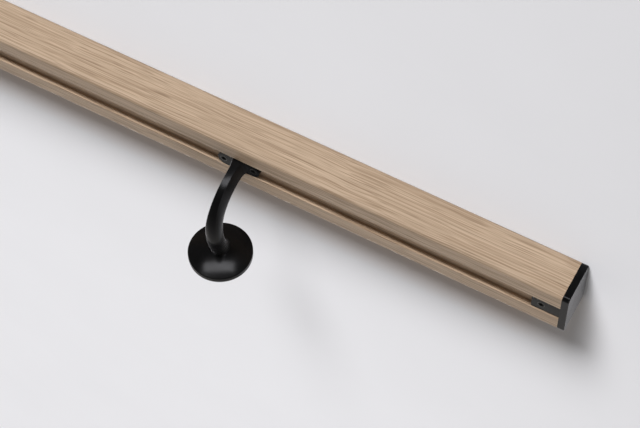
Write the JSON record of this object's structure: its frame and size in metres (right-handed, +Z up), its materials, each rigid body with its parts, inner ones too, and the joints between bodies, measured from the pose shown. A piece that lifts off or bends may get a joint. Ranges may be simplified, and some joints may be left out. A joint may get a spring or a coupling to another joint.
{
  "type": "stair handrail length",
  "caption": "Oak wall handrail of grooved rounded-rectangular section, with black end caps and black curved wall brackets with domed flanges.",
  "frame": {"origin": "middle of the rail's top face, which lies on the floor", "axes": "+X along the rail, +Y towards the wall, +Z up out of the rail's grooved underside"},
  "size_m": [1.513, 0.121, 0.1125],
  "materials": {
    "oak": "matt oiled",
    "black_coat": "satin powder coat",
    "black_screw": "satin"
  },
  "bodies": {
    "root": {"handrail": "oak", "end_cap_left": "black_coat", "end_cap_right": "black_coat", "wall_bracket_left": "black_coat", "wall_bracket_right": "black_coat", "bracket_screw_1": "black_screw", "bracket_screw_2": "black_screw", "bracket_screw_3": "black_screw", "bracket_screw_4": "black_screw", "cap_screw_left": "black_screw", "cap_screw_right": "black_screw"}
  },
  "joints": []
}
